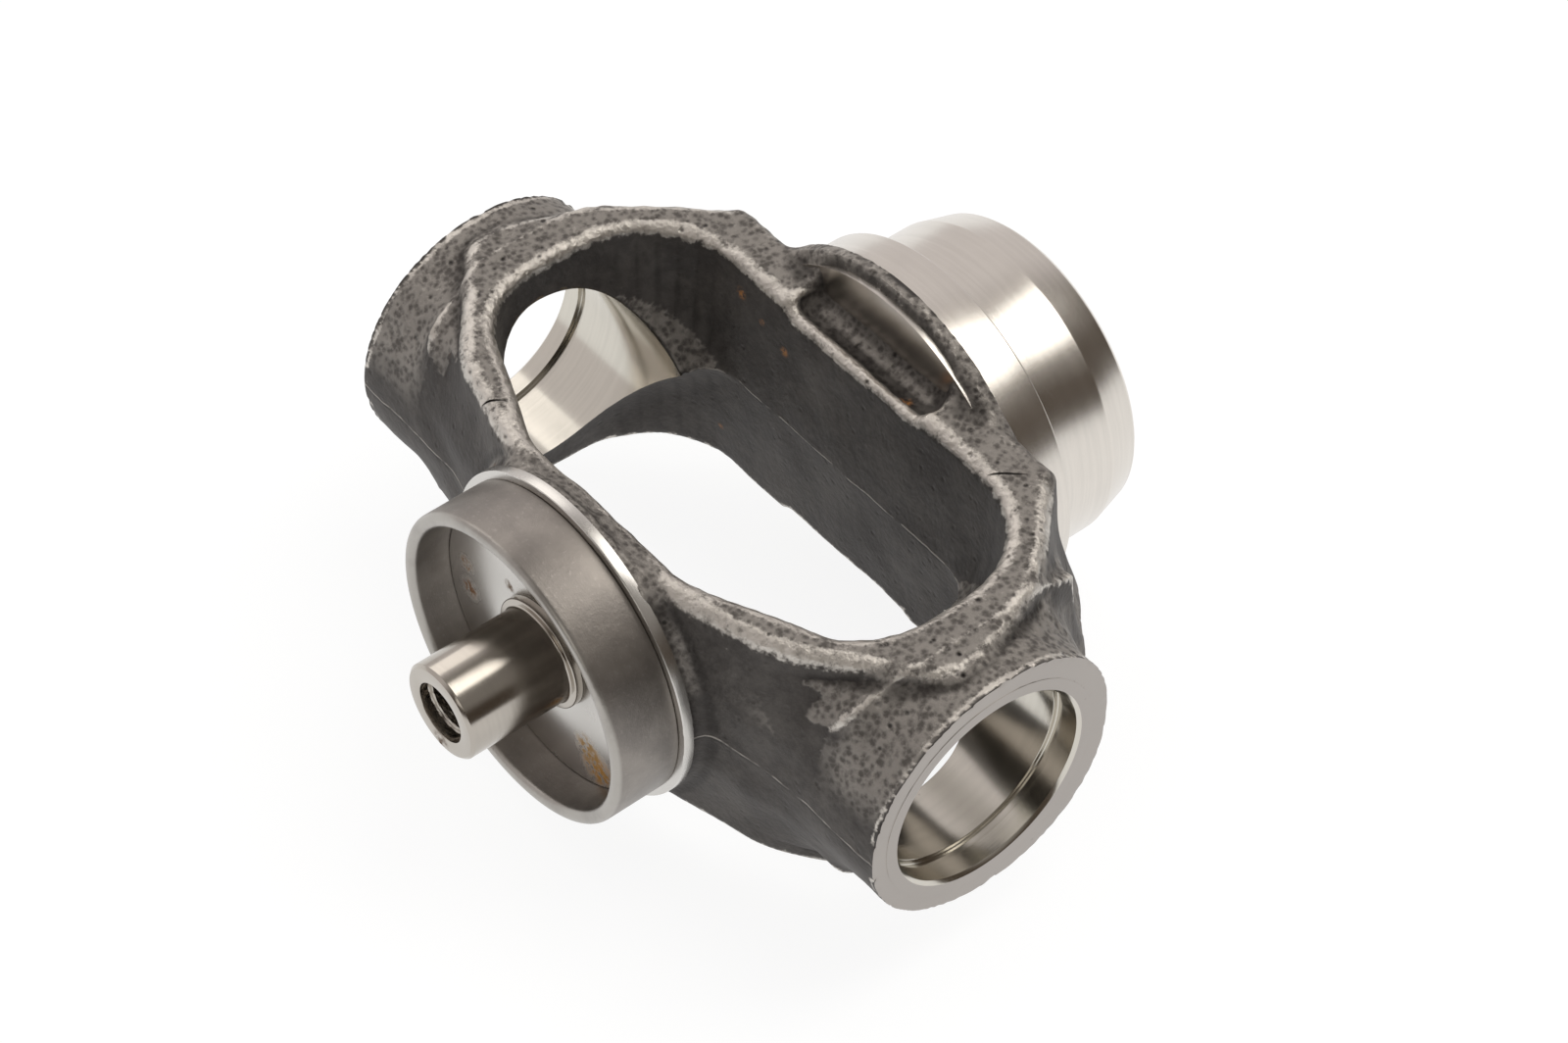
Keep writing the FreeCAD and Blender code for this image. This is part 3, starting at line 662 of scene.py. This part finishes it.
# Surface where a field is zero: one point for each cell that it passes through, placed where the
# surface's tangent planes at the cell's crossed edges meet best, and a quad round every crossed edge.
def contour(field, low, high, cell):
    axes = [np.arange(l, h + cell, cell) for l, h in zip(low, high)]
    shape = tuple(len(a) for a in axes)
    values = np.empty(shape, np.float32)
    for start in range(0, shape[0], 24):
        slab = np.meshgrid(axes[0][start:start + 24], axes[1], axes[2], indexing="ij")
        values[start:start + 24] = field(*slab)
    inside = values < 0
    cellShape = tuple(s - 1 for s in shape)
    origin = np.array(low, float)
    owners, places, flips = [], [], []
    for axis in range(3):
        near = [slice(None)] * 3
        far = [slice(None)] * 3
        near[axis], far[axis] = slice(0, -1), slice(1, None)
        first, second = inside[tuple(near)], inside[tuple(far)]
        index = np.argwhere(first != second)
        others = [k for k in range(3) if k != axis]
        keep = np.ones(len(index), bool)
        for k in others:
            keep &= (index[:, k] > 0) & (index[:, k] < shape[k] - 1)
        index = index[keep]
        v0 = values[tuple(index.T)]
        end = index.copy()
        end[:, axis] += 1
        v1 = values[tuple(end.T)]
        t = v0 / (v0 - v1)
        place = origin + index * cell
        place[:, axis] += t * cell
        around = []
        for du, dv in ((0, 0), (-1, 0), (-1, -1), (0, -1)):
            at = index.copy()
            at[:, others[0]] += du
            at[:, others[1]] += dv
            around.append(np.ravel_multi_index(tuple(at.T), cellShape))
        around = np.stack(around, 1)
        owners.append(around)
        places.append(place)
        outward = v0 < 0  # inside first, so the surface faces along the axis
        flips.append(outward if axis != 1 else ~outward)
    owners, places, flips = np.concatenate(owners), np.concatenate(places), np.concatenate(flips)

    # the field's slope, from four points round a place
    def slopeAt(p, h=0.04):
        corners = np.array([(1, -1, -1), (-1, -1, 1), (-1, 1, -1), (1, 1, 1)], float)
        total = np.zeros_like(p)
        for c in corners:
            total += c * field(*(p + c * h).T)[:, None]
        return total / (4 * h)

    normals = slopeAt(places)
    length = np.linalg.norm(normals, axis=1, keepdims=True)
    normals /= np.maximum(length, 1e-6)
    used, local = np.unique(owners, return_inverse=True)
    local = local.reshape(owners.shape)
    count = len(used)
    flat = local.ravel()
    rep = np.repeat(np.arange(len(places)), 4)
    weight = np.bincount(flat, minlength=count).astype(float)
    middle = np.stack([np.bincount(flat, places[rep, k], count) for k in range(3)], 1) / weight[:, None]
    offset = np.einsum("ij,ij->i", normals[rep], places[rep] - middle[flat])
    matrix = np.zeros((count, 3, 3))
    right = np.zeros((count, 3))
    for a in range(3):
        right[:, a] = np.bincount(flat, normals[rep, a] * offset, count)
        for b in range(a, 3):
            matrix[:, a, b] = matrix[:, b, a] = np.bincount(flat, normals[rep, a] * normals[rep, b], count)
    matrix += np.eye(3) * 0.025
    shift = np.linalg.solve(matrix, right[:, :, None])[:, :, 0]
    cellPlace = origin + np.stack(np.unravel_index(used, cellShape), 1) * cell
    points = np.clip(middle + shift, cellPlace, cellPlace + cell)
    quads = np.where(flips[:, None], local, local[:, ::-1])
    return points, quads


# A smooth random height: many plane waves of about one length, in random directions, added up.
def waves(points, count, length, seed):
    rng = np.random.default_rng(seed)
    total = np.zeros(len(points))
    for _ in range(count):
        direction = rng.normal(size=3)
        direction *= 2 * np.pi / length / np.linalg.norm(direction) * rng.uniform(0.7, 1.4)
        total += np.sin(points @ direction + rng.uniform(0, 2 * np.pi))
    return total / math.sqrt(count / 2)


# The forging's skin: its field less the bores, contoured, then moved along its normal by the scale's
# waves. ridge and hollow tell where it bends outward and inward, rough how the scale lies, and the last
# mask where the scale is thin, together with painted light on what faces up and painted shade in the window.
def makeForging(sizes):
    solid = forgingField(sizes)

    def field(x, y, z):
        fromAxis = np.hypot(y, z)
        mouth = np.minimum(sizes["mouthRadius"] - fromAxis, np.abs(x) - sizes["mouthFrom"])
        return np.maximum(np.maximum(solid(x, y, z), sizes["boreRadius"] - fromAxis), mouth)

    cell = sizes["cell"]
    half = math.ceil(27 / cell) + 0.5
    low = (-math.ceil(49.2 / cell) * cell - cell / 2, -23.3, -half * cell)
    high = (-low[0], 29.4, half * cell)
    points, quads = contour(field, low, high, cell)
    print("forging skin:", len(points), "points", len(quads), "faces")
    x, y, z = points.T
    h = 0.9
    spread = sum(solid(x + dx * h, y + dy * h, z + dz * h)
                 for dx, dy, dz in ((1, 0, 0), (-1, 0, 0), (0, 1, 0), (0, -1, 0), (0, 0, 1), (0, 0, -1)))
    bend = (spread - 6 * solid(x, y, z)) / (h * h)
    aroundBore, aroundShaft = np.hypot(y, z), np.hypot(x, z)
    onFace = np.abs(x) > sizes["faceReach"] - 0.06
    inMouth = (np.abs(x) > sizes["mouthFrom"] - 0.1) & (aroundBore < sizes["mouthRadius"] + 0.4)
    onBore = (np.abs(aroundBore - sizes["boreRadius"]) < 0.06) | inMouth
    turned = (y < -22.2) | ((y > 27.65) & (aroundShaft < 26.2))
    forged = ~(onFace | onBore | turned)
    e = 0.05
    normal = np.stack([field(x + e, y, z) - field(x - e, y, z), field(x, y + e, z) - field(x, y - e, z),
                       field(x, y, z + e) - field(x, y, z - e)], 1)
    normal /= np.maximum(np.linalg.norm(normal, axis=1, keepdims=True), 1e-6)
    up = normal[:, 2]
    # lighter where the scale is thin on the lower land, and where it faces up, which is partly thin scale and
    # partly painted light from above; the walls, the window's most of all, stay dark as painted shade
    bareAndLit = np.maximum(rise(up, -0.05, 0.75), rise(-up, 0.80, 0.98))
    inWindow = (np.abs(x) < 37) & (y > -17.5) & (y < 19.9) & (np.abs(up) < 0.45)
    bareAndLit = np.where(inWindow, 0.0, bareAndLit)
    nearBoss = np.exp(-((np.abs(x) - 40.8) ** 2 + (y - 1) ** 2) / 14) * (z > 10)
    rough = np.clip(0.25 + 0.75 * bareAndLit + 0.6 * nearBoss, 0, 1.2)
    # forging scale: long waves and short ones along the normal, none on what was machined
    lift = 0.075 * waves(points, 24, 9.0, 3) + 0.035 * waves(points, 36, 2.4, 5) * rough
    lift = np.clip(lift, -0.2, 0.12) - 0.05
    points = points + normal * (lift * forged)[:, None]
    points = np.clip(points, np.array(cadBox[0]) / mm, np.array(cadBox[1]) / mm)
    quiet = 1 - 0.75 * np.maximum(rise(y, 23.5, 25.5) * rise(aroundShaft, 21, 24), rise(-y, 19.5, 20.6))
    ridge = rise(bend, 0.10, 0.60) * forged * quiet * np.where(np.abs(z) < 3, 0.3, 1.0)
    hollow = rise(-bend, 0.10, 0.45) * forged
    corner = points[quads]
    faceNormal = np.cross(corner[:, 2] - corner[:, 0], corner[:, 3] - corner[:, 1])
    faceNormal /= np.maximum(np.linalg.norm(faceNormal, axis=1, keepdims=True), 1e-9)
    faceCentre = corner.mean(1)
    slots = np.where((np.abs(faceCentre[:, 0]) > 48.1) & (np.abs(faceNormal[:, 0]) > 0.85), 1, 0)
    fromShaft = np.hypot(faceCentre[:, 0], faceCentre[:, 2])
    slots[(faceCentre[:, 1] > 27.55) & (faceNormal[:, 1] > 0.9) & (fromShaft < 25.8)] = 2
    slots[np.hypot(faceCentre[:, 1], faceCentre[:, 2]) < sizes["boreRadius"] + 0.06] = 3
    piece = makePiece("forging_skin", points, quads, [forgedScale, faceSteel, hubSteel, boreSteel], slots, 48,
                      {"ridge": ridge, "hollow": hollow, "rough": rough, "bareAndLit": bareAndLit * forged})
    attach(piece, "root")
    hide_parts("yoke_forging")
    return solid


solid = makeForging(forging)


# bearing seats in the bosses
seat = {"radius": 13.5, "wall": 0.3, "face": 48.3, "chamfer": 0.4, "ring": 15.5, "ringBack": 42.5,
        "grooveFrom": 44.0, "grooveTo": 45.4, "groove": 14.2}


# How far in the metal reaches along a bore at each angle, found by halving.
def innerEnd(solid, radius, turn, side):
    xs = np.linspace(42, 22, 161)
    y, z = radius * np.cos(turn), radius * np.sin(turn)
    metal = np.stack([solid(side * np.full(turn.shape, x), y, z) < 0 for x in xs])
    first = np.argmax(~metal, axis=0)
    lowX, highX = xs[first], xs[np.maximum(first - 1, 0)]
    for _ in range(18):
        mid = (lowX + highX) / 2
        inMetal = solid(side * mid, y, z) < 0
        highX, lowX = np.where(inMetal, mid, highX), np.where(inMetal, lowX, mid)
    return highX


# A bearing seat turned about the cross axis: bore, snap ring groove, chamfer and face. Its inner end
# follows the forging.
def makeSeat(sizes, solid, side, name):
    r, outer = sizes["radius"], sizes["radius"] + sizes["wall"]
    profile = np.array([
        (outer, 0.0), (r, 1.0), (r, 2.0), (r, 3.0), (r, 4.0),
        (r, sizes["grooveFrom"] - 0.05), (r + 0.05, sizes["grooveFrom"]),
        (sizes["groove"] - 0.1, sizes["grooveFrom"]),
        (sizes["groove"], sizes["grooveFrom"] + 0.1), (sizes["groove"], sizes["grooveTo"] - 0.1),
        (sizes["groove"] - 0.1, sizes["grooveTo"]), (r + 0.05, sizes["grooveTo"]),
        (r, sizes["grooveTo"] + 0.05), (r, sizes["face"] - sizes["chamfer"] - 0.03),
        (r + 0.03, sizes["face"] - sizes["chamfer"] + 0.01),
        (r + sizes["chamfer"] - 0.03, sizes["face"] - 0.04), (r + sizes["chamfer"] + 0.02, sizes["face"]),
        (sizes["ring"], sizes["face"]), (sizes["ring"], sizes["ringBack"]), (outer, sizes["ringBack"] - 0.5)])
    faceRow = 16

    def trimmed(turn, radius, along):
        inner = innerEnd(solid, r, turn[:, 0], side)
        deep = np.maximum(inner, innerEnd(solid, outer, turn[:, 0], side)) + 0.12
        along = along.copy()
        for j in range(1, 5):
            along[:, j] = inner + (sizes["grooveFrom"] - 0.1 - inner) * (j - 1) / 4
        along[:, 0] = np.minimum(deep, 41.5)
        return radius, along * side

    slots = [1 if j == faceRow else 0 for j in range(len(profile))]
    piece = turnedPiece(name, profile, "X", [boreSteel, faceSteel], 320, slots, trimmed, 30)
    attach(piece, "root")


makeSeat(seat, solid, 1, "bearing_seat_right")
makeSeat(seat, solid, -1, "bearing_seat_left")
print("bearing seats made")


# hub, spigot
hub = {"weld": 24.6, "weldFrom": 25.0, "weldEnd": 33.8, "pilot": 21.6, "pilotEnd": 43.3, "nose": 20.4,
       "end": 48.5, "edge": 0.6, "centre": 3.0}


# Weld shoulder, tube pilot, lead-in taper and turning centre, turned from one profile.
def makeHub(sizes):
    profile = roundedPath([
        (0, sizes["weldFrom"]), (sizes["weld"], sizes["weldFrom"]), (sizes["weld"], sizes["weldEnd"], 0.25),
        (sizes["pilot"], sizes["weldEnd"], 0.2), (sizes["pilot"], sizes["pilotEnd"], 1.2),
        (sizes["nose"], sizes["end"] - sizes["edge"], 0.25),
        (sizes["nose"] - sizes["edge"], sizes["end"], 0.25), (sizes["centre"], sizes["end"], 0.15),
        (0, sizes["end"] - sizes["centre"] * 1.7)], 4)
    piece = turnedPiece("turned_hub", profile, "Y", [hubSteel], 320, smoothAngle=30)
    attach(piece, "root")


spigot = {"hole": 6.3, "floor": -26.5, "radius": 18.66, "shoulder": 21.6, "shoulderFace": -22.98,
          "shoulderBack": -21.6, "root": 15, "rootBack": -20.2}


# The spigot that carries cup and pin, and the shoulder behind it, turned from one profile.
def makeSpigot(sizes):
    profile = roundedPath([
        (sizes["hole"], sizes["rootBack"]), (sizes["hole"], sizes["floor"], 0.12),
        (sizes["radius"], sizes["floor"], 0.15), (sizes["radius"], sizes["shoulderFace"]),
        (sizes["shoulder"], sizes["shoulderFace"], 0.2), (sizes["shoulder"], sizes["shoulderBack"]),
        (sizes["root"], sizes["rootBack"])], 3)
    piece = turnedPiece("turned_spigot", profile, "Y", [floorSteel], 256, smoothAngle=30)
    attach(piece, "root")


makeHub(hub)
makeSpigot(spigot)


# seal cup
cup = {"inner": 18.7, "outer": 20.6, "base": -23.0, "rim": -31.9, "lipIn": 0.85, "lipOut": 0.85}


# A plain ring with its rim rounded inside and outside.
def makeCup(sizes):
    profile = roundedPath([
        (sizes["inner"], sizes["base"], 0.15), (sizes["inner"], sizes["rim"], sizes["lipIn"]),
        (sizes["outer"], sizes["rim"], sizes["lipOut"]), (sizes["outer"], sizes["base"], 0.25)], 6)
    piece = turnedPiece("pressed_cup", profile, "Y", [cupSteel], 320, smoothAngle=40)
    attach(piece, "root")
    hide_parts("seal_cup")


makeCup(cup)


# centring pin
pin = {"radius": 6.3, "root": -20.1, "tip": -41.7, "edge": 0.4, "collar": 7.3, "collarFrom": -26.5,
       "collarTo": -27.6, "bore": 3.4, "mouth": 3.95, "pitch": 1.25, "threadDepth": 0.55,
       "threadRows": 150, "holeEnd": -27.7}


# Outside turned from a profile; the hole's wall carries a thread, a ridge that moves one pitch along
# each turn.
def makePin(sizes):
    outside = roundedPath([
        (0, sizes["root"]), (sizes["radius"], sizes["root"]),
        (sizes["radius"], sizes["collarFrom"] + 0.01),
        (sizes["collar"], sizes["collarFrom"] - 0.01, 0.1), (sizes["collar"], sizes["collarTo"], 0.2),
        (sizes["radius"], sizes["collarTo"], 0.25), (sizes["radius"], sizes["tip"] + sizes["edge"], 0.2),
        (sizes["radius"] - sizes["edge"], sizes["tip"], 0.15), (sizes["mouth"], sizes["tip"], 0.1),
        (sizes["mouth"], sizes["tip"] + 1.2)], 3, closed=False)
    hole = np.linspace(sizes["tip"] + 1.3, sizes["holeEnd"], sizes["threadRows"])
    inside = np.stack([np.full(len(hole), sizes["bore"]), hole], 1)
    profile = np.concatenate([outside, inside, [(0, sizes["holeEnd"] + 2.0)]])
    first, last = len(outside), len(outside) + len(hole)

    def threaded(turn, radius, along):
        phase = (along[:, first:last] / sizes["pitch"] - turn / (2 * np.pi)) % 1
        ridge = np.clip(1.6 - np.abs(phase * 2 - 1) * 2.2, 0, 1)
        fade = np.minimum(rise(np.arange(first, last), last - 2, last - 12), 1)
        radius = radius.copy()
        radius[:, first:last] = sizes["bore"] + sizes["threadDepth"] * (1 - ridge) * fade
        return radius, along

    piece = turnedPiece("ground_pin", profile, "Y", [pinSteel], 192, shape=threaded, smoothAngle=40)
    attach(piece, "root")
    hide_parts("centring_pin")


makePin(pin)
print("hub, spigot, cup and pin made")
